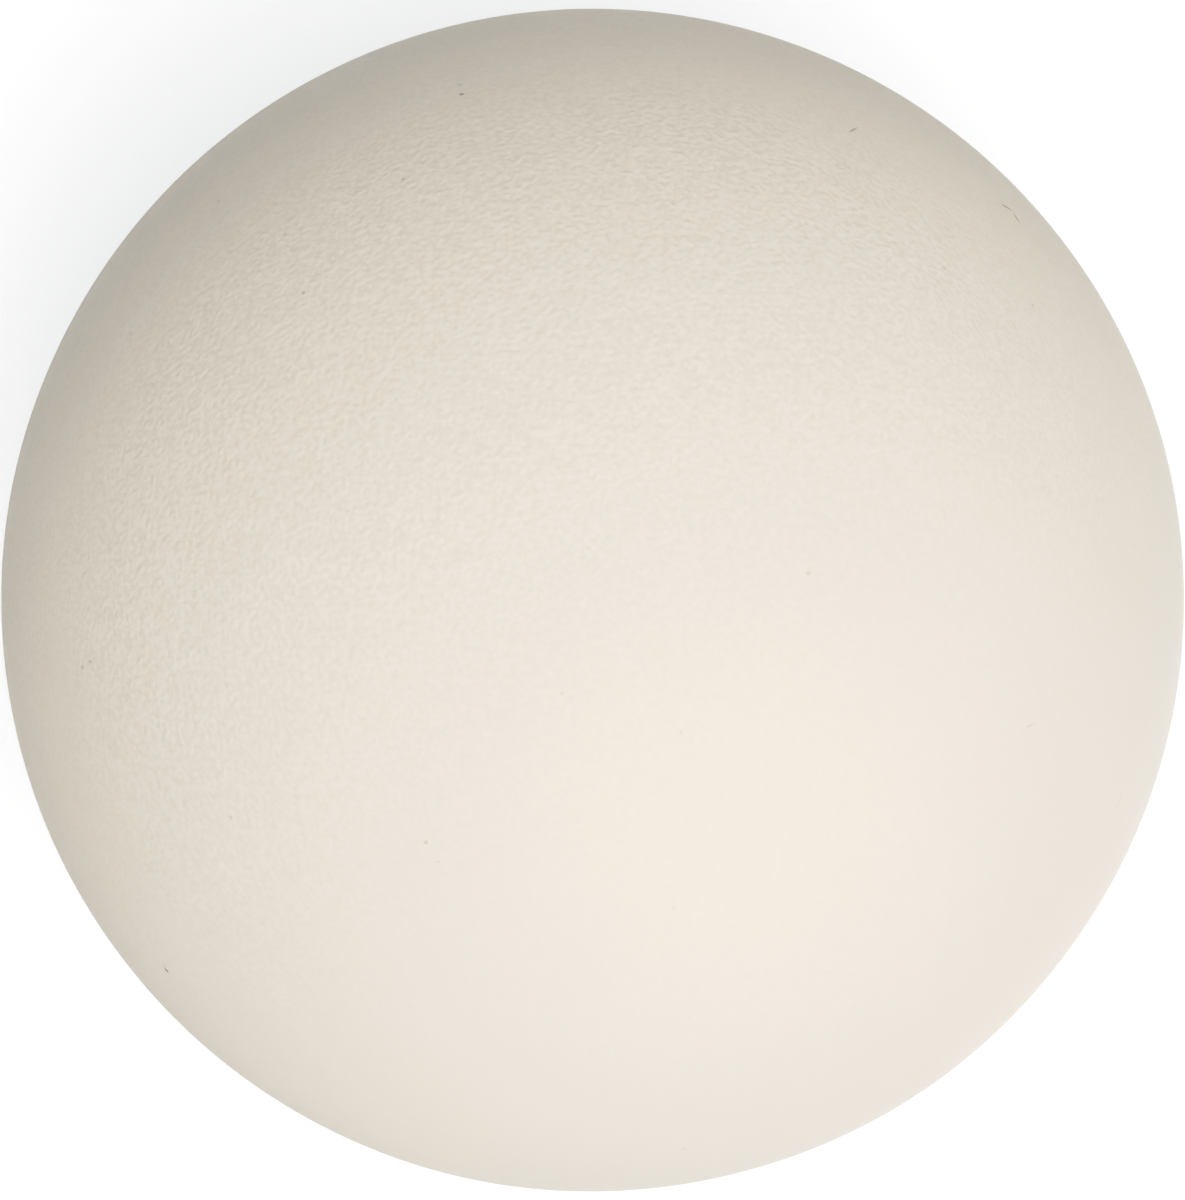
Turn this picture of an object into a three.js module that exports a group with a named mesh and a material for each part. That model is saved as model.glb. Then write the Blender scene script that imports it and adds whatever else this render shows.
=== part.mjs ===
// Rubber tennis ball: a hollow white ball of two moulded half-shells, cemented rim to rim, and
// blown up with a needle through a self-sealing valve. The valve is a domed rubber cap full of
// soft gum, cemented inside one pole behind a small navel in the wall.
//
// Sizes are millimetres and Z is up. The origin is the centre of the ball, and Z runs through
// both poles: the plain pole is on top and the valve is at the bottom.

import * as THREE from "three";

// Ball
const BALL_DIAMETER = 66;
const WALL = 1.85;

// Seam between the half-shells, on the equator
const SEAM_LAND = 0.55; // what the rim is wider than the wall, so that the cement has more to hold
const SEAM_CEMENT = 0.3; // cured film between the two rims
const SEAM_BEAD_SPREAD = 0.35; // how far the cement that is pressed out inside goes beyond the film

// Navel and needle port in the wall, at the valve
const NAVEL_DIAMETER = 4;
const NAVEL_DEPTH = 0.3; // below its own edge
const NEEDLE_PORT_DIAMETER = 1.2;

// Valve cap, cemented to the inside of the wall
const VALVE_CEMENT = 0.3;
const CAP_WALL = 1.6;
const FLANGE_LEDGE = 0.9; // flat part of the flange, outside its fillet
const FLANGE_FILLET = 1;
const FLANGE_THICKNESS = 0.9;
const AIR_EXIT_DIAMETER = 1;

// Sealing gum: a neck that stands on the wall, and a bulb that fills the cap
const GUM_NECK_DIAMETER = 4.4;
const GUM_NECK_LENGTH = 2;
const GUM_BULB_SWELL = 0.8; // what the bulb's radius is over that of the neck

// Fineness of the facets
const FACETS_AROUND = 60;
const FACET_ANGLE = (2 * Math.PI) / FACETS_AROUND;
const SMALL_ARC_FACET_ANGLE = Math.PI / 8;
const FEWEST_ARC_STEPS = 2;

// Radii and heights that follow from the sizes above
const outerRadius = BALL_DIAMETER / 2;
const innerRadius = outerRadius - WALL;
const landRadius = innerRadius - SEAM_LAND;
const rimHeight = SEAM_CEMENT / 2;
const navelRadius = NAVEL_DIAMETER / 2;
const portRadius = NEEDLE_PORT_DIAMETER / 2;
const neckRadius = GUM_NECK_DIAMETER / 2;
const bulbRadius = neckRadius + GUM_BULB_SWELL;
const bulbHeight = heightOf(neckRadius, innerRadius) + GUM_NECK_LENGTH + legOf(bulbRadius, neckRadius);
const bulbCentre = point(0, bulbHeight);
const exitRadius = AIR_EXIT_DIAMETER / 2;
const domeRadius = bulbRadius + CAP_WALL;
const filletAxis = domeRadius + FLANGE_FILLET;
const flangeEdge = latitudeOf(filletAxis + FLANGE_LEDGE, innerRadius);
const capSeatRadius = innerRadius - VALVE_CEMENT; // about the ball's centre, as is the next one
const flangeInnerRadius = capSeatRadius - FLANGE_THICKNESS;

const whiteRubber = new THREE.MeshStandardMaterial({ color: 0xf1e9de, roughness: 0.6, metalness: 0 });
const capRubber = new THREE.MeshStandardMaterial({ color: 0xe4d9c6, roughness: 0.7, metalness: 0 });
const curedCement = new THREE.MeshStandardMaterial({ color: 0xdccaa6, roughness: 0.5, metalness: 0 });
const softGum = new THREE.MeshStandardMaterial({ color: 0xb98a4c, roughness: 0.35, metalness: 0 });

// The other leg of a right-angled triangle.
function legOf(hypotenuse, leg) {
  return Math.sqrt(hypotenuse ** 2 - leg ** 2);
}

// Where a sphere about the ball's centre is, in its lower half, at a distance from the Z axis:
// the latitude of that point, and its height.
function latitudeOf(axisDistance, sphereRadius) {
  return -Math.acos(axisDistance / sphereRadius);
}

function heightOf(axisDistance, sphereRadius) {
  return -legOf(sphereRadius, axisDistance);
}

// Points of an arc, both ends included. In a profile, X is the distance from the ball's axis
// and Y is the height.
function arc(centre, radius, from, to, facetAngle = SMALL_ARC_FACET_ANGLE) {
  const steps = Math.max(FEWEST_ARC_STEPS, Math.ceil(Math.abs(to - from) / facetAngle));
  const curve = new THREE.EllipseCurve(centre.x, centre.y, radius, radius, from, to, to < from);
  return curve.getPoints(steps);
}

// An arc about the centre of the ball, from one latitude to another.
function meridian(radius, from, to) {
  return arc(point(0, 0), radius, from, to, FACET_ANGLE);
}

function point(axisDistance, height) {
  return new THREE.Vector2(axisDistance, height);
}

// A piece turned about Z. Its profile runs anticlockwise round the material, and either goes
// from the axis to the axis or comes back to its first point.
function turned(name, material, profile) {
  const loop = profile.filter((p, i) => i === 0 || p.distanceTo(profile[i - 1]) > Number.EPSILON);
  const geometry = new THREE.LatheGeometry(loop, FACETS_AROUND);
  geometry.rotateX(Math.PI / 2);
  const mesh = new THREE.Mesh(geometry, material);
  mesh.name = name;
  return mesh;
}

// The inside of a half-shell from the rim to a latitude. The last stretch to the rim is straight,
// so the wall thickens into the land that takes the cement. side is 1 above the seam, -1 below.
function insideFromRim(side, endLatitude) {
  const landEnd = side * Math.acos(landRadius / innerRadius);
  return [point(landRadius, side * rimHeight), ...meridian(innerRadius, landEnd, endLatitude)];
}

function plainHalfShell() {
  const pole = Math.PI / 2;
  const rim = Math.asin(rimHeight / outerRadius);
  const outside = meridian(outerRadius, rim, pole);
  const inside = insideFromRim(1, pole).reverse();
  return turned("plain_half_shell", whiteRubber, [...outside, ...inside, outside[0]]);
}

// The shallow dish that marks the needle port, from its edge on the ball to the port.
function navelDish() {
  const radius = (navelRadius ** 2 + NAVEL_DEPTH ** 2) / (2 * NAVEL_DEPTH);
  const centre = point(0, heightOf(navelRadius, outerRadius) + NAVEL_DEPTH - radius);
  return arc(centre, radius, Math.acos(portRadius / radius), Math.acos(navelRadius / radius));
}

// The inner wall at the valve, in the stretches that the gum and the cap's cement lie on.
function wallUnderGum() {
  return meridian(innerRadius, latitudeOf(portRadius, innerRadius), latitudeOf(neckRadius, innerRadius));
}

function wallUnderCap() {
  return meridian(innerRadius, latitudeOf(neckRadius, innerRadius), flangeEdge);
}

function valveHalfShell() {
  const rim = -Math.asin(rimHeight / outerRadius);
  const navelEdge = latitudeOf(navelRadius, outerRadius);
  const outside = [...navelDish(), ...meridian(outerRadius, navelEdge, rim)];
  const atValve = [...wallUnderCap().reverse(), ...wallUnderGum().reverse()];
  const inside = [...insideFromRim(-1, flangeEdge), ...atValve];
  return turned("valve_half_shell", whiteRubber, [...outside, ...inside, outside[0]]);
}

// The film between the rims, with the half-round bead that it leaves inside.
function seamCement() {
  const edgeRadius = legOf(outerRadius, rimHeight);
  const beadCentre = point(landRadius, 0);
  const film = [point(edgeRadius, -rimHeight), point(edgeRadius, rimHeight), point(landRadius, rimHeight)];
  const bead = arc(beadCentre, rimHeight + SEAM_BEAD_SPREAD, Math.PI / 2, (3 * Math.PI) / 2);
  return turned("seam_cement", curedCement, [...film, ...bead, point(landRadius, -rimHeight), film[0]]);
}

// The film under the cap's flange.
function valveCement() {
  const onWall = wallUnderCap();
  const underFlange = capSeat().reverse();
  return turned("valve_cement", curedCement, [...onWall, ...underFlange, onWall[0]]);
}

// The face of the cap that lies on its cement, from the gum's neck to the flange's edge.
function capSeat() {
  return meridian(capSeatRadius, latitudeOf(neckRadius, capSeatRadius), flangeEdge);
}

// The bulb that the gum fills, from its neck to the air exit in the top of the cap.
function bulbInCap() {
  const neckEnd = -Math.acos(neckRadius / bulbRadius);
  return arc(bulbCentre, bulbRadius, neckEnd, Math.acos(exitRadius / bulbRadius));
}

function valveCap() {
  const filletCentre = point(filletAxis, heightOf(filletAxis, flangeInnerRadius - FLANGE_FILLET));
  const filletStart = Math.atan2(filletCentre.y, filletCentre.x);
  const flange = meridian(flangeInnerRadius, flangeEdge, filletStart);
  const fillet = arc(filletCentre, FLANGE_FILLET, filletStart, -Math.PI);
  const dome = arc(bulbCentre, domeRadius, 0, Math.acos(exitRadius / domeRadius));
  const pocket = bulbInCap().reverse();
  const seat = capSeat();
  return turned("valve_cap", capRubber, [...seat, ...flange, ...fillet, ...dome, ...pocket, seat[0]]);
}

function sealingGum() {
  const foot = [point(0, -innerRadius), ...wallUnderGum()];
  const bareTop = arc(bulbCentre, bulbRadius, Math.acos(exitRadius / bulbRadius), Math.PI / 2);
  return turned("sealing_gum", softGum, [...foot, ...bulbInCap(), ...bareTop]);
}

const ball = new THREE.Group();
ball.name = "rubber_tennis_ball";
ball.add(plainHalfShell(), valveHalfShell(), seamCement());
ball.add(valveCap(), sealingGum(), valveCement());

export default ball;
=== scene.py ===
"""Looks of a rubber tennis ball: white moulded rubber, seen from straight above on a light table.

The centre of the ball is the origin, Z runs through both poles, and the valve is at the lower one.
A name that ends in _mm is in millimetres, one that ends in _deg in degrees, and the rest in metres.
"""

import logging
import math
from dataclasses import dataclass, field
from enum import Enum
from typing import Any, Mapping, Sequence

import bmesh
import bpy
import numpy as np
from mathutils import Matrix, Vector, noise

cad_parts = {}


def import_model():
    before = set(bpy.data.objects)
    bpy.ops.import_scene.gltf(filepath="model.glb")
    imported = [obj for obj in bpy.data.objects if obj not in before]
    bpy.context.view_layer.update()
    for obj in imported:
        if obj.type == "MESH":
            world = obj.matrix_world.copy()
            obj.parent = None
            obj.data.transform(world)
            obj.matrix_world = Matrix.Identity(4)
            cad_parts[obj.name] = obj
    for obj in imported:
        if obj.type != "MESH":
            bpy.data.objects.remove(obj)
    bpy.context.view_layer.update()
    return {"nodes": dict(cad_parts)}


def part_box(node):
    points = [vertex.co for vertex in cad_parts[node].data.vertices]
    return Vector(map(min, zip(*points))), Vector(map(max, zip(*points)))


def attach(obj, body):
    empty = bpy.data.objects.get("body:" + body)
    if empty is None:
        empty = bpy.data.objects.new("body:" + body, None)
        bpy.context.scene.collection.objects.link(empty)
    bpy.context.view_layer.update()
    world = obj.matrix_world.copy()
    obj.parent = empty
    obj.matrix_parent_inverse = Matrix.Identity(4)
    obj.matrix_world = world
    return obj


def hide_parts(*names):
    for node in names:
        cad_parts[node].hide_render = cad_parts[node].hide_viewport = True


LOG = logging.getLogger("tennis_ball")
MM = 0.001
BODY = "root"
# Faces across a rounded edge.
ROUND_STEPS = 3
# Number of the tone curve that bends red, green and blue alike.
ALL_CHANNELS = 3


class Side(Enum):
    """Which half of the ball a shell is. The value is the sign of its heights."""

    PLAIN = 1
    VALVE = -1


def linear(hex_colour: str) -> tuple[float, float, float, float]:
    """Turns an sRGB colour into linear light.

    Args:
        hex_colour: six hex digits, red first.

    Returns:
        Linear red, green and blue, and an alpha of 1.
    """
    shares = [int(hex_colour[i : i + 2], 16) / 255 for i in (0, 2, 4)]
    red, green, blue = [s / 12.92 if s <= 0.04045 else ((s + 0.055) / 1.055) ** 2.4 for s in shares]
    return red, green, blue, 1.0


def per_metre(pitch_mm: float) -> float:
    """Gives the texture scale that repeats a pattern once in each pitch_mm."""
    return 1 / (pitch_mm * MM)


def direction(tilt_deg: float, bearing_deg: float) -> Vector:
    """Points outwards from the centre of the ball.

    Args:
        tilt_deg: angle from the plain pole.
        bearing_deg: angle round Z, from +X towards +Y.

    Returns:
        The unit vector.
    """
    tilt, bearing = math.radians(tilt_deg), math.radians(bearing_deg)
    flat = math.sin(tilt)
    return Vector((flat * math.cos(bearing), flat * math.sin(bearing), math.cos(tilt)))


def add_node(
    tree: bpy.types.NodeTree, kind: str, sockets: Mapping[str | int, Any] | None = None, **settings: Any
) -> bpy.types.Node:
    """Adds one node.

    Args:
        tree: the tree that gets it.
        kind: its type.
        sockets: for each input, by name or number, its value or the output that is linked to it.
        **settings: the node's own settings.

    Returns:
        The node.
    """
    node = tree.nodes.new(kind)
    for name, value in settings.items():
        setattr(node, name, value)
    for key, value in (sockets or {}).items():
        if isinstance(value, bpy.types.NodeSocket):
            tree.links.new(value, node.inputs[key])
        else:
            node.inputs[key].default_value = value
    return node


def empty_material(name: str) -> bpy.types.Material:
    """Makes a material that has no nodes yet.

    Args:
        name: the real material and how its surface was made.

    Returns:
        The material.
    """
    material = bpy.data.materials.new(name)
    material.use_nodes = True
    material.node_tree.nodes.clear()
    return material


@dataclass(frozen=True)
class Mark:
    """A fleck, a scuff or a hair of lint on the skin.

    Attributes:
        tilt_deg: angle of its middle from the plain pole.
        bearing_deg: angle of its middle round Z.
        heading_deg: which way it runs on the skin.
        length_mm: its length.
        width_mm: its width in the middle.
        strength: how much of the mark's colour it has, from 0 to 1.
    """

    tilt_deg: float
    bearing_deg: float
    heading_deg: float
    length_mm: float
    width_mm: float
    strength: float


# Marks that the photograph shows: tilt, bearing, heading, length, width and strength of each.
SEEN_MARKS = (
    Mark(69, 43.5, -135, 1.3, 0.2, 0.8),
    Mark(69, 42, 150, 1.0, 0.2, 0.8),
    Mark(60, 61, -105, 1.5, 0.2, 0.5),
    Mark(67, 339, 0, 1.1, 0.15, 0.25),
    Mark(46, 344, -60, 0.9, 0.15, 0.25),
    Mark(27, 235.5, 40, 0.36, 0.36, 0.35),
    Mark(28, 239.5, 35, 0.3, 0.24, 0.2),
    Mark(67, 221, -15, 0.5, 0.36, 0.9),
    Mark(66.5, 220.5, -10, 0.4, 0.2, 0.4),
    Mark(19.5, 7, -90, 0.46, 0.3, 0.25),
    Mark(41.5, 211, -10, 0.4, 0.3, 0.3),
    Mark(57, 104.5, 125, 0.44, 0.36, 0.7),
    Mark(55.5, 187.5, 85, 0.5, 0.36, 0.3),
    Mark(54, 187, 90, 0.6, 0.3, 0.3),
    Mark(4.5, 94, 175, 0.36, 0.36, 0.12),
)
# Marks of the same kind on the half that it does not show. The first is dust in the navel.
HIDDEN_MARKS = (
    Mark(180, 0, 0, 3.0, 3.0, 0.3),
    Mark(118, 70, 25, 1.6, 0.14, 0.4),
    Mark(131, 208, 100, 1.1, 0.16, 0.4),
    Mark(146, 300, 60, 0.4, 0.34, 0.6),
    Mark(108, 265, 10, 0.5, 0.3, 0.6),
)


@dataclass(frozen=True)
class MouldedWhiteRubber:
    """Natural rubber with white pigment, vulcanised in an etched mould.

    It gives the eye a chalky cream that shades softly, a fine orange-peel grain where light grazes it,
    and a few specks of the compound. A bloom of wax and talc takes away part of rubber's usual shine.

    Attributes:
        skin_hex, mottle_hex: the pigment, and the same where it is less evenly mixed.
        pit_shade_hex, pit_reach: painted shade in the pits of the grain, with talc and dust there too, and
            how
        far above and below the mean the grain is where the pits' colour ends and is full.
        speck_hex, mark_hex: specks in the compound, and marks on the skin.
        ior, roughness_low, roughness_high, shine: of the surface. shine is 0.5 without the bloom.
        grain_pitch_mm, grain_height_mm: the orange peel.
        peel_pitch_mm, peel_share: the longer waves under it, in shares of its height.
        mottle_pitch_mm, speck_spacing_mm, speck_radius_mm: of those patterns.
        grain_detail, peel_detail, mottle_detail, shine_detail: how many finer layers the grain, the
            waves, the mottling and the unevenness of the shine have.
        polish_tilt_deg, polish_bearing_deg: the middle of the side that looks smooth, taken as wear.
        polish_core_deg, polish_edge_deg: how far from there the wear is full, and where it ends.
        polished_share: what is left of the grain there.
        buffed_half_width_mm: how far from the seam the grain was ground off.
        rim_low_mm, rim_high_mm: distances from the seam between which the grain fades towards the rim.
        rim_share: what is left of it below. It is matched to the photograph, which does not show why.
        mark_core: the share of a mark that has its full strength.
        marks: flecks, scuffs and lint.
    """

    skin_hex: str = "e1d9cf"
    mottle_hex: str = "ded6cb"
    pit_shade_hex: str = "d7cfc4"
    pit_reach: float = 0.3
    speck_hex: str = "b2aa9c"
    mark_hex: str = "8d8577"
    ior: float = 1.52
    roughness_low: float = 0.78
    roughness_high: float = 0.88
    shine: float = 0.3
    grain_pitch_mm: float = 0.32
    grain_height_mm: float = 0.043
    peel_pitch_mm: float = 0.9
    peel_share: float = 0.36
    mottle_pitch_mm: float = 6.0
    speck_spacing_mm: float = 3.2
    speck_radius_mm: float = 0.17
    grain_detail: float = 0.5
    peel_detail: float = 1.0
    mottle_detail: float = 3.0
    shine_detail: float = 2.0
    polish_tilt_deg: float = 60.0
    polish_bearing_deg: float = 300.0
    polish_core_deg: float = 37.0
    polish_edge_deg: float = 78.5
    polished_share: float = 0.18
    buffed_half_width_mm: float = 1.6
    rim_low_mm: float = 15.0
    rim_high_mm: float = 22.0
    rim_share: float = 0.45
    mark_core: float = 0.2
    marks: Sequence[Mark] = SEEN_MARKS + HIDDEN_MARKS

    def material(self, radius: float) -> bpy.types.Material:
        """Builds the rubber.

        Args:
            radius: of the ball, on which the marks lie.

        Returns:
            The material.
        """
        material = empty_material("moulded_white_rubber")
        tree = material.node_tree
        place = add_node(tree, "ShaderNodeTexCoord").outputs["Object"]
        grain = self._grain(tree, place)
        bloom = add_node(
            tree,
            "ShaderNodeTexNoise",
            {"Vector": place, "Scale": per_metre(self.mottle_pitch_mm), "Detail": self.shine_detail},
        )
        roughness = add_node(
            tree,
            "ShaderNodeMapRange",
            {"Value": bloom.outputs["Fac"], "To Min": self.roughness_low, "To Max": self.roughness_high},
        )
        bump = add_node(
            tree, "ShaderNodeBump", {"Strength": 1.0, "Distance": self.grain_height_mm * MM, "Height": grain}
        )
        skin = add_node(
            tree,
            "ShaderNodeBsdfPrincipled",
            {
                "Base Color": self._colour(tree, place, grain, radius),
                "Roughness": roughness.outputs["Result"],
                "Specular IOR Level": self.shine,
                "IOR": self.ior,
                "Normal": bump.outputs["Normal"],
            },
        )
        add_node(tree, "ShaderNodeOutputMaterial", {"Surface": skin.outputs["BSDF"]})
        return material

    def _grain(self, tree: bpy.types.NodeTree, place: bpy.types.NodeSocket) -> bpy.types.NodeSocket:
        """Makes the grain that the mould leaves, less on the worn side, at the rim and beside the seam.

        Args:
            tree: the material's tree.
            place: position on the ball.

        Returns:
            The grain's height, in shares of grain_height_mm, and 0 in the mean.
        """
        fine = add_node(
            tree,
            "ShaderNodeTexNoise",
            {"Vector": place, "Scale": per_metre(self.grain_pitch_mm), "Detail": self.grain_detail},
        )
        peel = add_node(
            tree,
            "ShaderNodeTexNoise",
            {"Vector": place, "Scale": per_metre(self.peel_pitch_mm), "Detail": self.peel_detail},
        )
        both = add_node(
            tree,
            "ShaderNodeMath",
            {0: peel.outputs["Fac"], 1: self.peel_share, 2: fine.outputs["Fac"]},
            operation="MULTIPLY_ADD",
        )
        level = add_node(
            tree, "ShaderNodeMath", {0: both.outputs[0], 1: (1 + self.peel_share) / 2}, operation="SUBTRACT"
        )
        polished = direction(self.polish_tilt_deg, self.polish_bearing_deg)
        outwards = add_node(tree, "ShaderNodeVectorMath", {0: place}, operation="NORMALIZE")
        facing = add_node(
            tree, "ShaderNodeVectorMath", {0: outwards.outputs[0], 1: polished}, operation="DOT_PRODUCT"
        )
        unworn = add_node(
            tree,
            "ShaderNodeMapRange",
            {
                "Value": facing.outputs["Value"],
                "From Min": math.cos(math.radians(self.polish_core_deg)),
                "From Max": math.cos(math.radians(self.polish_edge_deg)),
                "To Min": self.polished_share,
            },
            interpolation_type="SMOOTHSTEP",
        )
        axes = add_node(tree, "ShaderNodeSeparateXYZ", {"Vector": place})
        from_seam = add_node(tree, "ShaderNodeMath", {0: axes.outputs["Z"]}, operation="ABSOLUTE")
        grain = level.outputs[0]
        shares_left = [unworn.outputs["Result"]]
        for low_mm, high_mm, share in (
            (self.buffed_half_width_mm / 2, self.buffed_half_width_mm, self.polished_share),
            (self.rim_low_mm, self.rim_high_mm, self.rim_share),
        ):
            band = add_node(
                tree,
                "ShaderNodeMapRange",
                {
                    "Value": from_seam.outputs[0],
                    "From Min": low_mm * MM,
                    "From Max": high_mm * MM,
                    "To Min": share,
                },
                interpolation_type="SMOOTHSTEP",
            )
            shares_left.append(band.outputs["Result"])
        for left in shares_left:
            grain = add_node(tree, "ShaderNodeMath", {0: grain, 1: left}, operation="MULTIPLY").outputs[0]
        return grain

    def _colour(
        self,
        tree: bpy.types.NodeTree,
        place: bpy.types.NodeSocket,
        grain: bpy.types.NodeSocket,
        radius: float,
    ) -> bpy.types.NodeSocket:
        """Colours the skin: pigment that is not quite even, painted shade and dust in the pits, specks and
        marks.

        Args:
            tree: the material's tree.
            place: position on the ball.
            grain: height of the grain.
            radius: of the ball.

        Returns:
            The colour.
        """
        mottle = add_node(
            tree,
            "ShaderNodeTexNoise",
            {"Vector": place, "Scale": per_metre(self.mottle_pitch_mm), "Detail": self.mottle_detail},
        )
        # Painted shade in the grain's pits, with dust there too: the lower the grain, the darker the colour.
        pit_shade = add_node(
            tree,
            "ShaderNodeMapRange",
            {"Value": grain, "From Min": self.pit_reach, "From Max": -self.pit_reach},
        )
        colour: bpy.types.NodeSocket | Sequence[float] = linear(self.skin_hex)
        for share, hex_colour in (
            (mottle.outputs["Fac"], self.mottle_hex),
            (pit_shade.outputs["Result"], self.pit_shade_hex),
            (self._specks(tree, place), self.speck_hex),
            (self._marks(tree, place, radius), self.mark_hex),
        ):
            colour = add_node(
                tree,
                "ShaderNodeMix",
                {"Factor": share, "A": colour, "B": linear(hex_colour)},
                data_type="RGBA",
            ).outputs["Result"]
        return colour

    def _specks(self, tree: bpy.types.NodeTree, place: bpy.types.NodeSocket) -> bpy.types.NodeSocket:
        """Strews grains through the compound. The skin cuts them at any size up to the largest.

        Args:
            tree: the material's tree.
            place: position on the ball.

        Returns:
            How much of a speck there is, from 0 to 1.
        """
        grains = add_node(
            tree, "ShaderNodeTexVoronoi", {"Vector": place, "Scale": per_metre(self.speck_spacing_mm)}
        )
        speck = add_node(
            tree,
            "ShaderNodeMapRange",
            {
                "Value": grains.outputs["Distance"],
                "From Min": self.speck_radius_mm / self.speck_spacing_mm,
                "From Max": 0.0,
            },
            interpolation_type="SMOOTHSTEP",
        )
        return add_node(
            tree,
            "ShaderNodeMath",
            {0: speck.outputs["Result"], 1: grains.outputs["Color"]},
            operation="MULTIPLY",
        ).outputs[0]

    def _marks(
        self, tree: bpy.types.NodeTree, place: bpy.types.NodeSocket, radius: float
    ) -> bpy.types.NodeSocket:
        """Draws each mark as a slim ellipsoid that the skin cuts.

        Args:
            tree: the material's tree.
            place: position on the ball.
            radius: of the ball.

        Returns:
            How much of a mark there is, from 0 to 1.
        """
        total: bpy.types.NodeSocket | float = 0.0
        for mark in self.marks:
            outwards = direction(mark.tilt_deg, mark.bearing_deg)
            turn = outwards.to_track_quat("Z", "Y").to_matrix()
            turn = turn @ Matrix.Rotation(math.radians(mark.heading_deg), 3, "Z")
            half = Vector((mark.length_mm, mark.width_mm, mark.length_mm)) * MM / 2
            local = add_node(
                tree,
                "ShaderNodeMapping",
                {"Vector": place, "Location": outwards * radius, "Rotation": turn.to_euler(), "Scale": half},
                vector_type="TEXTURE",
            )
            reach = add_node(tree, "ShaderNodeVectorMath", {0: local.outputs[0]}, operation="LENGTH")
            stroke = add_node(
                tree,
                "ShaderNodeMapRange",
                {
                    "Value": reach.outputs["Value"],
                    "From Min": 1.0,
                    "From Max": self.mark_core,
                    "To Max": mark.strength,
                },
                interpolation_type="SMOOTHSTEP",
            )
            total = add_node(
                tree, "ShaderNodeMath", {0: total, 1: stroke.outputs["Result"]}, operation="MAXIMUM"
            ).outputs[0]
        return total


@dataclass(frozen=True)
class SoftCompound:
    """An unfilled rubber compound inside the ball or in its seam.

    Attributes:
        name: the real material and how its surface was made.
        light_hex, dark_hex: its colour where it is thin and where it is thick.
        ior, roughness: of its surface.
        pitch_mm, height_mm: size and height of the unevenness that its making leaves.
        drawn_out: how many times longer the unevenness is round Z than along it.
        detail: how many finer layers it has.
    """

    name: str
    light_hex: str
    dark_hex: str
    ior: float
    roughness: float
    pitch_mm: float
    height_mm: float
    drawn_out: float = 1.0
    detail: float = 3.0

    def material(self) -> bpy.types.Material:
        """Builds the compound.

        Returns:
            The material.
        """
        material = empty_material(self.name)
        tree = material.node_tree
        place = add_node(tree, "ShaderNodeTexCoord").outputs["Object"]
        drawn = add_node(
            tree, "ShaderNodeMapping", {"Vector": place, "Scale": (1.0, 1.0, self.drawn_out)}
        )
        uneven = add_node(
            tree,
            "ShaderNodeTexNoise",
            {"Vector": drawn.outputs["Vector"], "Scale": per_metre(self.pitch_mm), "Detail": self.detail},
        ).outputs["Fac"]
        colour = add_node(
            tree,
            "ShaderNodeMix",
            {"Factor": uneven, "A": linear(self.light_hex), "B": linear(self.dark_hex)},
            data_type="RGBA",
        )
        bump = add_node(
            tree, "ShaderNodeBump", {"Strength": 1.0, "Distance": self.height_mm * MM, "Height": uneven}
        )
        skin = add_node(
            tree,
            "ShaderNodeBsdfPrincipled",
            {
                "Base Color": colour.outputs["Result"],
                "Roughness": self.roughness,
                "IOR": self.ior,
                "Normal": bump.outputs["Normal"],
            },
        )
        add_node(tree, "ShaderNodeOutputMaterial", {"Surface": skin.outputs["BSDF"]})
        return material


# Pale rubber without pigment, moulded in a plain steel tool: dull and a little cloudy.
CAP_RUBBER = SoftCompound(
    name="press_moulded_gum_rubber",
    light_hex="e8dcc8",
    dark_hex="d9c9ae",
    ior=1.52,
    roughness=0.7,
    pitch_mm=0.6,
    height_mm=0.03,
)
# Rubber dissolved in solvent, brushed on and cured: honey-coloured, satin, with the brush's strokes.
CURED_CEMENT = SoftCompound(
    name="brushed_rubber_cement",
    light_hex="e0d3b8",
    dark_hex="cdbb98",
    ior=1.52,
    roughness=0.5,
    pitch_mm=0.35,
    height_mm=0.03,
    drawn_out=4.0,
)
# Uncured gum, pressed in warm: brown, sticky and nearly glossy, with soft flow marks.
SEALING_GUM = SoftCompound(
    name="pressed_in_soft_gum",
    light_hex="bf9254",
    dark_hex="a67a3f",
    ior=1.52,
    roughness=0.35,
    pitch_mm=0.9,
    height_mm=0.06,
)


@dataclass(frozen=True)
class OpalAcrylic:
    """White acrylic with a matt-sanded face, lit from below, which gives a plain ground with pale shadows.

    Seen from below it is clear, so that the underside of the ball can be looked at.

    Attributes:
        sheet_hex: its colour.
        passed_share: the share of light that goes through it.
        washed_share: the share of plain white that only the camera sees on it, to keep its shadows pale.
    """

    sheet_hex: str = "fdfdfd"
    passed_share: float = 0.2
    washed_share: float = 0.6

    def material(self) -> bpy.types.Material:
        """Builds the acrylic.

        Returns:
            The material.
        """
        material = empty_material("sanded_opal_acrylic")
        tree = material.node_tree
        face = add_node(tree, "ShaderNodeBsdfDiffuse", {"Color": linear(self.sheet_hex)})
        depth = add_node(tree, "ShaderNodeBsdfTranslucent", {"Color": linear(self.sheet_hex)})
        opal = add_node(
            tree, "ShaderNodeMixShader", {"Fac": self.passed_share, 1: face.outputs[0], 2: depth.outputs[0]}
        )
        white = add_node(tree, "ShaderNodeEmission", {"Color": linear(self.sheet_hex)})
        ray = add_node(tree, "ShaderNodeLightPath")
        wash = add_node(
            tree,
            "ShaderNodeMath",
            {0: ray.outputs["Is Camera Ray"], 1: self.washed_share},
            operation="MULTIPLY",
        )
        seen = add_node(
            tree, "ShaderNodeMixShader", {"Fac": wash.outputs[0], 1: opal.outputs[0], 2: white.outputs[0]}
        )
        clear = add_node(tree, "ShaderNodeBsdfTransparent")
        side = add_node(tree, "ShaderNodeNewGeometry")
        sheet = add_node(
            tree,
            "ShaderNodeMixShader",
            {"Fac": side.outputs["Backfacing"], 1: seen.outputs[0], 2: clear.outputs[0]},
        )
        add_node(tree, "ShaderNodeOutputMaterial", {"Surface": sheet.outputs["Shader"]})
        return material


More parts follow.
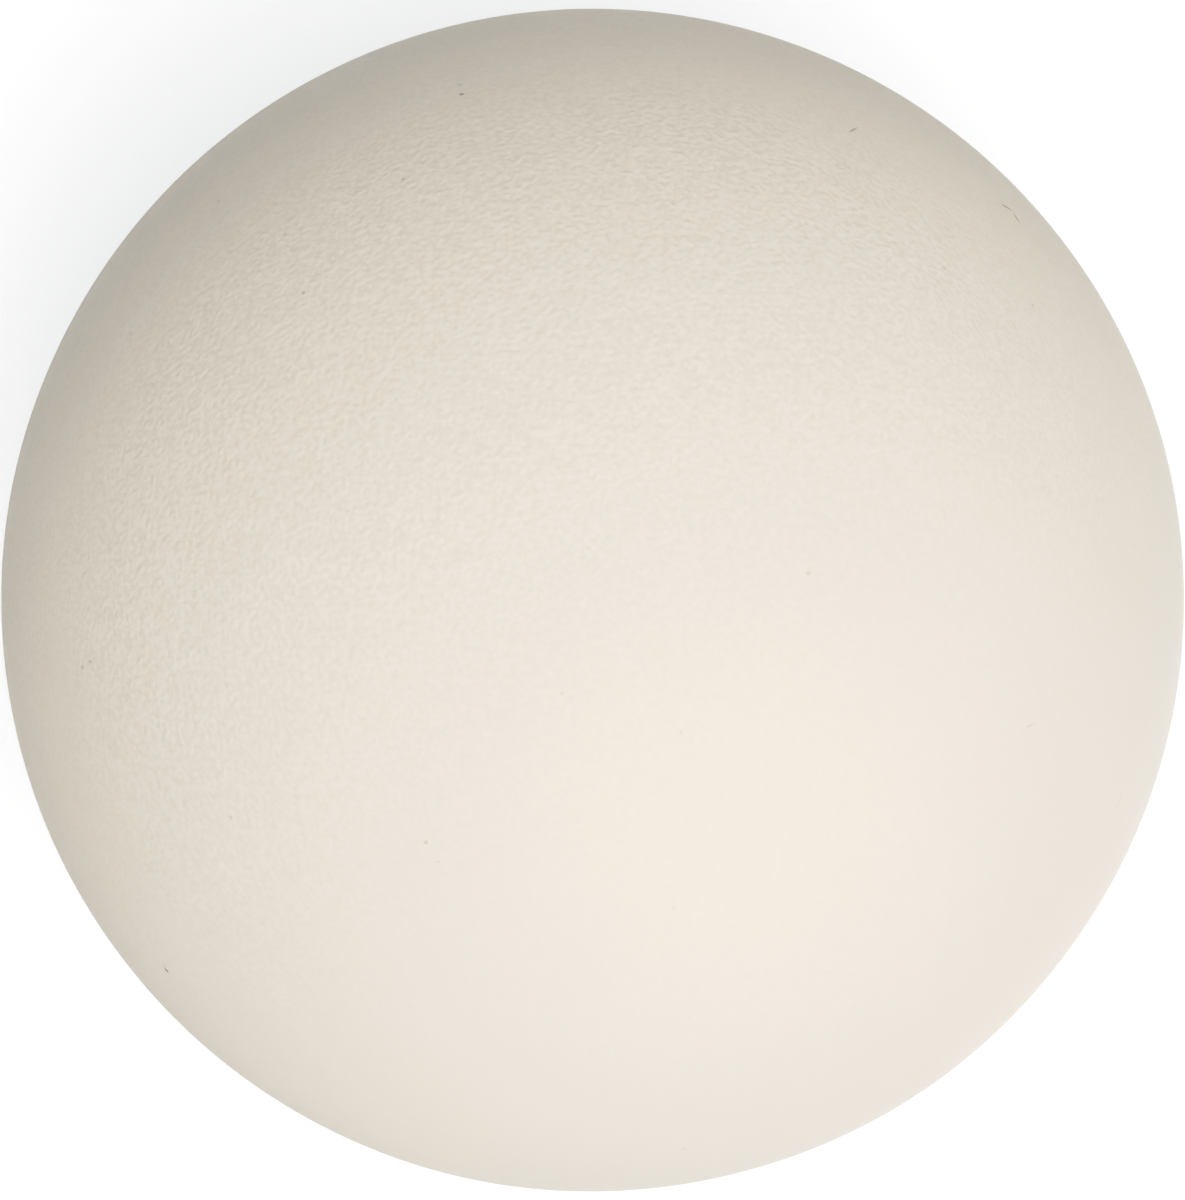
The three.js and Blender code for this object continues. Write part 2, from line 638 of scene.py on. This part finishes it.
def turned(axis_distance: np.ndarray | float, height: np.ndarray | float, angle: np.ndarray) -> np.ndarray:
    """Turns points about Z.

    Args:
        axis_distance: distance from the axis, of all points or of each.
        height: height, of all points or of each.
        angle: angle of each point round the axis.

    Returns:
        A row of X, Y and Z for each point.
    """
    x, y = axis_distance * np.cos(angle), axis_distance * np.sin(angle)
    return np.stack([x, y, height + np.zeros_like(angle)], axis=1)


def rounded(start: float, end: float) -> list[tuple[float, float]]:
    """Gives the steps of a quarter round, as shares of its radius.

    Args:
        start: angle at which it starts, in quarter turns.
        end: angle at which it ends.

    Returns:
        Cosine and sine of each step, without the start.
    """
    shares = [step / ROUND_STEPS for step in range(1, ROUND_STEPS + 1)]
    angles = [math.pi / 2 * (start + (end - start) * share) for share in shares]
    return [(math.cos(a), math.sin(a)) for a in angles]


@dataclass
class RingGrid:
    """Points on rings round a pole, each ring with eight more points than the one inside it.

    The rings are those of a square grid, pulled round, so faces stay near square and do not crowd
    together at the pole.

    Attributes:
        first: the innermost ring. 0 is the pole itself, and any other leaves a hole.
        last: the outermost ring.
        ring: the ring of each point.
        angle: the angle of each point round the pole.
        quads: the four points of each face.
    """

    first: int
    last: int
    ring: np.ndarray = field(init=False)
    angle: np.ndarray = field(init=False)
    quads: np.ndarray = field(init=False)

    def __post_init__(self) -> None:
        """Lays out the points and the faces."""
        steps = np.arange(-self.last, self.last + 1)
        x, y = (a.ravel() for a in np.meshgrid(steps, steps, indexing="ij"))
        along_x = np.abs(x) >= np.abs(y)
        main, other = np.where(along_x, x, y), np.where(along_x, y, x)
        lean = math.pi / 4 * other / np.where(main == 0, 1, main)
        angle = np.where(along_x, lean, math.pi / 2 - lean) + np.where(main < 0, math.pi, 0)
        ring = np.abs(main)
        kept = ring >= self.first
        number = np.cumsum(kept) - 1
        count = len(steps)
        corner = np.arange(count * count).reshape(count, count)[:-1, :-1].ravel()
        cells = np.stack([corner, corner + count, corner + count + 1, corner + 1], axis=1)
        self.quads = number[cells[kept[cells].all(axis=1)]]
        self.ring = ring[kept]
        self.angle = np.mod(angle[kept], 2 * math.pi)

    def share(self) -> np.ndarray:
        """Gives each point's place between the innermost ring and the outermost."""
        return (self.ring - self.first) / (self.last - self.first)

    def loop(self, ring: int) -> np.ndarray:
        """Lists the points of a ring in order of angle.

        Args:
            ring: the ring.

        Returns:
            The points' numbers.
        """
        points = np.flatnonzero(self.ring == ring)
        return points[np.argsort(self.angle[points])]


@dataclass
class MeshMaker:
    """Gathers the points and faces of one closed piece.

    Attributes:
        points: rows of X, Y and Z, one array for each time that points were added.
        faces: the numbers of each face's points.
        count: how many points there are.
    """

    points: list[np.ndarray] = field(default_factory=list)
    faces: list[list[int]] = field(default_factory=list)
    count: int = 0

    def add(self, points: np.ndarray) -> np.ndarray:
        """Adds points.

        Args:
            points: a row of X, Y and Z for each.

        Returns:
            Their numbers in this mesh.
        """
        self.points.append(points)
        self.count += len(points)
        return np.arange(self.count - len(points), self.count)

    def join(self, one: np.ndarray, other: np.ndarray) -> None:
        """Joins two loops of equally many points.

        Args:
            one: the numbers of the first loop's points.
            other: those of the second.
        """
        self.faces.extend(np.stack([one, np.roll(one, -1), np.roll(other, -1), other], axis=1).tolist())

    def halve(self, fine: np.ndarray, coarse: np.ndarray) -> None:
        """Joins a loop to one with half as many points.

        Args:
            fine: the loop with more points. Every second one stands over a point of the other.
            coarse: the loop with fewer.
        """
        following = np.roll(coarse, -1)
        start, middle, end = fine[0::2], fine[1::2], np.roll(fine, -2)[0::2]
        for corners in ((start, middle, coarse), (middle, following, coarse), (middle, end, following)):
            self.faces.extend(np.stack(corners, axis=1).tolist())

    def piece(self, name: str, side: Side, node: str, slot: str) -> bpy.types.Object:
        """Makes the piece, with smooth faces that look outwards, and puts it in its solid's place.

        Args:
            name: of the piece.
            side: the half that it is for. What was made pole up is turned over for the lower one.
            node: the solid that it stands for.
            slot: names the record's material slot, but is not used.

        Returns:
            The object.
        """
        mesh = bpy.data.meshes.new(name)
        mesh.from_pydata((np.concatenate(self.points) * (1, 1, side.value)).tolist(), [], self.faces)
        work = bmesh.new()
        work.from_mesh(mesh)
        bmesh.ops.recalc_face_normals(work, faces=work.faces)
        work.to_mesh(mesh)
        work.free()
        mesh.shade_smooth()
        piece = bpy.data.objects.new(name, mesh)
        bpy.context.scene.collection.objects.link(piece)
        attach(piece, BODY)
        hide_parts(node)
        return piece


@dataclass
class HalfShell:
    """One moulded half of the ball, from its pole to the rim that is cemented.

    Attributes:
        node: the solid that it stands for.
        side: which half it is.
        wall_mm: thickness of the wall.
        land_mm: what the rim is wider than the wall.
        edge_mm: radius of the edges of the rim and the port.
        rings: rings of faces from the pole to the rim.
        wave_mm, wave_pitch_mm: how far the skin waves in and out, and the length of the waves.
        calm_mm: how far from the rim the waves start to die away.
        navel_mm, navel_depth_mm: the dish that marks the port.
        port_mm: diameter of the needle port.
        port_rings: rings that the port takes the place of.
        even_share, crowding: the share of evenly spaced rings round a port, and the power that draws the
            rest towards it, because the navel is small.
        radius: of the ball.
        rim: height of the rim, from the seam.
    """

    node: str
    side: Side
    wall_mm: float = 1.85
    land_mm: float = 0.55
    edge_mm: float = 0.12
    rings: int = 96
    wave_mm: float = 0.05
    wave_pitch_mm: float = 14.0
    calm_mm: float = 4.0
    navel_mm: float = 4.0
    navel_depth_mm: float = 0.36
    port_mm: float = 1.2
    port_rings: int = 6
    even_share: float = 0.35
    crowding: float = 2.2
    radius: float = field(init=False)
    rim: float = field(init=False)

    def __post_init__(self) -> None:
        """Takes the ball's radius and the rim's height from the solid."""
        low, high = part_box(self.node)
        self.radius = high.x
        self.rim = low.z if self.side is Side.PLAIN else -high.z

    @property
    def inside(self) -> float:
        """Radius of the air chamber."""
        return self.radius - self.wall_mm * MM

    @property
    def land(self) -> float:
        """Distance of the rim's inner face from the axis."""
        return self.inside - self.land_mm * MM

    def build(self, rubber: bpy.types.Material) -> bpy.types.Object:
        """Builds the half and dresses it.

        Args:
            rubber: its finish.

        Returns:
            The piece.
        """
        first = self.port_rings if self.side is Side.VALVE else 0
        maker = MeshMaker()
        outer, inner = RingGrid(first, self.rings), RingGrid(first // 2, self.rings // 2)
        outer_points = maker.add(self._outside(outer))
        inner_points = maker.add(self._inside(inner))
        maker.faces.extend(outer_points[outer.quads].tolist() + inner_points[inner.quads].tolist())
        land_end = inner_points[inner.loop(inner.last)]
        self._add_rows(maker, outer, outer_points, outer.last, self._rim_rows(), land_end)
        if first:
            mouth = inner_points[inner.loop(inner.first)]
            self._add_rows(maker, outer, outer_points, outer.first, self._port_rows(), mouth)
        piece = maker.piece(self.node + "_skin", self.side, self.node, "white_rubber")
        piece.data.materials.append(rubber)
        return piece

    def _add_rows(
        self,
        maker: MeshMaker,
        outer: RingGrid,
        outer_points: np.ndarray,
        ring: int,
        rows: Sequence[tuple[float, float]],
        inner_loop: np.ndarray,
    ) -> None:
        """Leads a ring of the outside over some rows to a loop of the inside.

        Args:
            maker: the mesh.
            outer: the outside's rings.
            outer_points: the outside's points in the mesh.
            ring: the ring that is led on.
            rows: distance from the axis and height of each row.
            inner_loop: the loop that the last row is joined to.
        """
        loop = outer.loop(ring)
        last = outer_points[loop]
        for axis_distance, height in rows:
            row = maker.add(turned(axis_distance, height, outer.angle[loop]))
            maker.join(last, row)
            last = row
        maker.halve(last, inner_loop)

    def _outside(self, grid: RingGrid) -> np.ndarray:
        """Places the outside: a sphere that waves a little, with the navel's dish round a port.

        Args:
            grid: the points' rings and angles.

        Returns:
            A row of X, Y and Z for each point.
        """
        edge = self.edge_mm * MM
        end = math.acos((self.rim + edge) / self.radius)
        start, share = 0.0, grid.share()
        if grid.first:
            start = math.asin((self.port_mm / 2 * MM + edge) / self.radius)
            share = self.even_share * share + (1 - self.even_share) * share**self.crowding
        polar = start + (end - start) * share
        sphere = turned(np.sin(polar), np.cos(polar), grid.angle)
        waves = np.array([noise.noise(Vector(p) * self.radius / (self.wave_pitch_mm * MM)) for p in sphere])
        calm = np.clip((end - polar) * self.radius / (self.calm_mm * MM), 0, 1)
        radius = self.radius + self.wave_mm * MM * waves * calm
        if grid.first:
            reach = np.clip(self.radius * np.sin(polar) / (self.navel_mm * MM / 2), 0, 1)
            radius = np.where(reach < 1, self.radius, radius) - self.navel_depth_mm * MM * (1 - reach**2)
        return sphere * radius[:, None]

    def _inside(self, grid: RingGrid) -> np.ndarray:
        """Places the inside: a plain sphere, from the pole or the port to the end of the land.

        Args:
            grid: the points' rings and angles.

        Returns:
            A row of X, Y and Z for each point.
        """
        start = math.asin(self.port_mm / 2 * MM / self.inside) if grid.first else 0.0
        polar = start + (math.asin(self.land / self.inside) - start) * grid.share()
        return turned(self.inside * np.sin(polar), self.inside * np.cos(polar), grid.angle)

    def _rim_rows(self) -> list[tuple[float, float]]:
        """Lists the rows of the rim, from the outer edge over the cemented face to the land's end.

        Returns:
            Distance from the axis and height of each row.
        """
        edge = self.edge_mm * MM
        brim = math.sqrt(self.radius**2 - self.rim**2)
        rows = [(brim - edge * (1 - c), self.rim + edge * (1 - s)) for c, s in rounded(0, 1)]
        rows.append((self.land + edge, self.rim))
        rows += [(self.land + edge * (1 - c), self.rim + edge * (1 - s)) for c, s in rounded(1, 0)]
        return rows

    def _port_rows(self) -> list[tuple[float, float]]:
        """Lists the rows of the needle port, from its mouth in the navel through the wall.

        Returns:
            Distance from the axis and height of each row.
        """
        edge = self.edge_mm * MM
        bore = self.port_mm / 2 * MM
        mouth = self.radius - self.navel_depth_mm * MM
        rows = [(bore + edge * (1 - c), mouth - edge * (1 - s)) for c, s in rounded(1, 0)]
        rows.append((bore, math.sqrt(self.inside**2 - bore**2) + edge))
        return rows


@dataclass
class Seam:
    """The cured cement between the rims: a fine line outside, and a bead inside.

    Attributes:
        half: a half-shell, which gives the ball's sizes.
        node: the solid that it stands for.
        recess_mm: how far the line lies below the skin, where the cement shrank.
        hollow_mm: how much deeper it is in the middle.
        bead_steps: faces of the bead, across.
        segments: faces round the ball.
    """

    half: HalfShell
    node: str = "seam_cement"
    recess_mm: float = 0.05
    hollow_mm: float = 0.04
    bead_steps: int = 8
    segments: int = 384

    def build(self, cement: bpy.types.Material) -> bpy.types.Object:
        """Builds the seam and dresses it.

        Args:
            cement: its finish.

        Returns:
            The piece.
        """
        angle = np.linspace(0, 2 * math.pi, self.segments, endpoint=False)
        maker = MeshMaker()
        loops = [maker.add(turned(*corner, angle)) for corner in self._section()]
        for one, other in zip(loops, loops[1:] + loops[:1]):
            maker.join(one, other)
        piece = maker.piece(self.node + "_line", Side.PLAIN, self.node, "cured_cement")
        piece.data.materials.append(cement)
        return piece

    def _section(self) -> list[tuple[float, float]]:
        """Draws the section, from the line's upper edge down and round the bead.

        Returns:
            Distance from the axis and height of each corner.
        """
        rim, land = self.half.rim, self.half.land
        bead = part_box(self.node)[1].z
        line = self.half.radius - self.recess_mm * MM
        section = [(line, rim), (line - self.hollow_mm * MM, 0.0), (line, -rim), (land, -rim)]
        for step in range(self.bead_steps + 1):
            turn = math.pi * step / self.bead_steps
            section.append((land - bead * math.sin(turn), -bead * math.cos(turn)))
        return section + [(land, rim)]


@dataclass(frozen=True)
class Valve:
    """The valve inside the lower pole. Nothing but the port shows it, so its solids stay.

    Attributes:
        cap, gum, cement: its solids.
    """

    cap: str = "valve_cap"
    gum: str = "sealing_gum"
    cement: str = "valve_cement"

    def dress(
        self, nodes: Mapping[str, bpy.types.Object], cement: bpy.types.Material
    ) -> list[bpy.types.Object]:
        """Gives the solids their finishes.

        Args:
            nodes: the frame's solids by name.
            cement: the finish of all cement in the ball.

        Returns:
            The solids.
        """
        finishes = {self.cap: CAP_RUBBER.material(), self.gum: SEALING_GUM.material(), self.cement: cement}
        for name, finish in finishes.items():
            nodes[name].data.materials.clear()
            nodes[name].data.materials.append(finish)
        return [nodes[name] for name in finishes]


@dataclass(frozen=True)
class Lamp:
    """A square soft lamp that looks at the ball.

    Attributes:
        name: of the lamp.
        tilt_deg, bearing_deg: where it hangs, seen from the ball.
        distance: from the ball.
        size: side of its face.
        power: in watts.
        hex_colour: of its light.
    """

    name: str
    tilt_deg: float
    bearing_deg: float
    distance: float
    size: float
    power: float
    hex_colour: str

    def build(self) -> bpy.types.Object:
        """Hangs the lamp.

        Returns:
            The lamp.
        """
        data = bpy.data.lights.new(self.name, "AREA")
        data.size = self.size
        data.energy = self.power
        data.color = linear(self.hex_colour)[:3]
        outwards = direction(self.tilt_deg, self.bearing_deg)
        lamp = bpy.data.objects.new(self.name, data)
        lamp.location = outwards * self.distance
        lamp.rotation_euler = outwards.to_track_quat("Z", "Y").to_euler()
        bpy.context.scene.collection.objects.link(lamp)
        return lamp


@dataclass(frozen=True)
class Studio:
    """A light table under soft light, and a camera straight above the ball.

    Attributes:
        image_px: width and height of the photograph.
        outline_px: radius of the ball in it.
        camera_distance, camera_clip: from the centre of the ball, and the nearest that the camera sees.
        floor_size: side of the floor.
        softbox: the lamp over the ball.
        underlight: the lamp under the floor, which lights the ball alone.
        room_hex, room: colour and strength of the light from all round.
        table_hex, table: the same of the light under the floor.
        wall_hex: what the camera sees beyond the floor.
        tone_points: light and the tone that it gets, between black and white, matched to the photograph.
    """

    image_px: tuple[int, int] = (1185, 1200)
    outline_px: float = 591.4
    camera_distance: float = 0.32
    camera_clip: float = 0.01
    floor_size: float = 2.0
    softbox: Lamp = Lamp(
        name="overhead_softbox",
        tilt_deg=15.0,
        bearing_deg=304.0,
        distance=2.2,
        size=1.2,
        power=52.6,
        hex_colour="fffbf8",
    )
    underlight: Lamp = Lamp(
        name="underside_softbox",
        tilt_deg=152.0,
        bearing_deg=335.0,
        distance=2.2,
        size=1.2,
        power=14.0,
        hex_colour="ffffff",
    )
    room_hex: str = "f3fdff"
    room: float = 0.24
    table_hex: str = "f2faff"
    table: float = 1.4
    wall_hex: str = "f4f4f2"
    tone_points: Sequence[tuple[float, float]] = ((0.36, 0.34), (0.65, 0.688), (0.86, 0.862))

    def build(self, radius: float, pieces: Sequence[bpy.types.Object]) -> None:
        """Sets up the floor, the light and the camera.

        Args:
            radius: of the ball, which lies on the floor.
            pieces: the pieces of the ball.
        """
        self._lay_floor(radius)
        self._light_room()
        self.softbox.build()
        self._light_underside(pieces)
        self._hang_camera(radius)
        self._set_tone()

    def _lay_floor(self, radius: float) -> None:
        """Lays the floor under the ball.

        Args:
            radius: of the ball.
        """
        half = self.floor_size / 2
        mesh = bpy.data.meshes.new("floor")
        corners = [(x * half, y * half, -radius) for x, y in ((-1, -1), (1, -1), (1, 1), (-1, 1))]
        mesh.from_pydata(corners, [], [(0, 1, 2, 3)])
        mesh.materials.append(OpalAcrylic().material())
        floor = bpy.data.objects.new("floor", mesh)
        bpy.context.scene.collection.objects.link(floor)

    def _light_room(self) -> None:
        """Lets soft light in from all round, and through the floor."""
        world = bpy.data.worlds.new("room")
        bpy.context.scene.world = world
        world.use_nodes = True
        tree = world.node_tree
        tree.nodes.clear()
        room = add_node(
            tree, "ShaderNodeBackground", {"Color": linear(self.room_hex), "Strength": self.room}
        )
        table = add_node(
            tree, "ShaderNodeBackground", {"Color": linear(self.table_hex), "Strength": self.table}
        )
        wall = add_node(tree, "ShaderNodeBackground", {"Color": linear(self.wall_hex)})
        way = add_node(tree, "ShaderNodeTexCoord")
        axes = add_node(tree, "ShaderNodeSeparateXYZ", {"Vector": way.outputs["Generated"]})
        below = add_node(tree, "ShaderNodeMath", {0: axes.outputs["Z"], 1: 0.0}, operation="LESS_THAN")
        light = add_node(
            tree, "ShaderNodeMixShader", {"Fac": below.outputs[0], 1: room.outputs[0], 2: table.outputs[0]}
        )
        ray = add_node(tree, "ShaderNodeLightPath")
        seen = add_node(
            tree,
            "ShaderNodeMixShader",
            {"Fac": ray.outputs["Is Camera Ray"], 1: light.outputs[0], 2: wall.outputs[0]},
        )
        add_node(tree, "ShaderNodeOutputWorld", {"Surface": seen.outputs["Shader"]})

    def _light_underside(self, pieces: Sequence[bpy.types.Object]) -> None:
        """Lights the ball from below. The floor lets this lamp through and shows nothing of it.

        Args:
            pieces: the pieces of the ball.
        """
        ball = bpy.data.collections.new("ball")
        for piece in pieces:
            ball.objects.link(piece)
        linking = self.underlight.build().light_linking
        linking.receiver_collection = ball
        linking.blocker_collection = ball

    def _hang_camera(self, radius: float) -> None:
        """Hangs the camera over the ball, with a lens that makes it as large as in the photograph.

        Args:
            radius: of the ball.
        """
        data = bpy.data.cameras.new("camera")
        outline = math.tan(math.asin(radius / self.camera_distance))
        data.lens = self.outline_px / max(self.image_px) * data.sensor_width / outline
        data.clip_start = self.camera_clip
        camera = bpy.data.objects.new("camera", data)
        camera.location = (0, 0, self.camera_distance)
        bpy.context.scene.collection.objects.link(camera)
        bpy.context.scene.camera = camera

    def _set_tone(self) -> None:
        """Bends the tones as a camera does, with more contrast in the shade and less in the light."""
        view = bpy.context.scene.view_settings
        view.view_transform = "Standard"
        view.use_curve_mapping = True
        all_channels = view.curve_mapping.curves[ALL_CHANNELS]
        for light, tone in self.tone_points:
            all_channels.points.new(light, tone)
        view.curve_mapping.update()


def main() -> None:
    """Builds the ball and the studio, piece by piece."""
    logging.basicConfig(level=logging.INFO, format="%(name)s: %(message)s")
    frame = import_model()
    halves = [HalfShell("plain_half_shell", Side.PLAIN), HalfShell("valve_half_shell", Side.VALVE)]
    radius = halves[0].radius
    rubber, cement = MouldedWhiteRubber().material(radius), CURED_CEMENT.material()
    pieces = [half.build(rubber) for half in halves]
    pieces.append(Seam(halves[0]).build(cement))
    pieces += Valve().dress(frame["nodes"], cement)
    Studio().build(radius, pieces)
    for piece in pieces:
        LOG.info("%s: %d faces, %s", piece.name, len(piece.data.polygons), piece.active_material.name)
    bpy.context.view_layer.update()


if __name__ == "__main__":
    main()
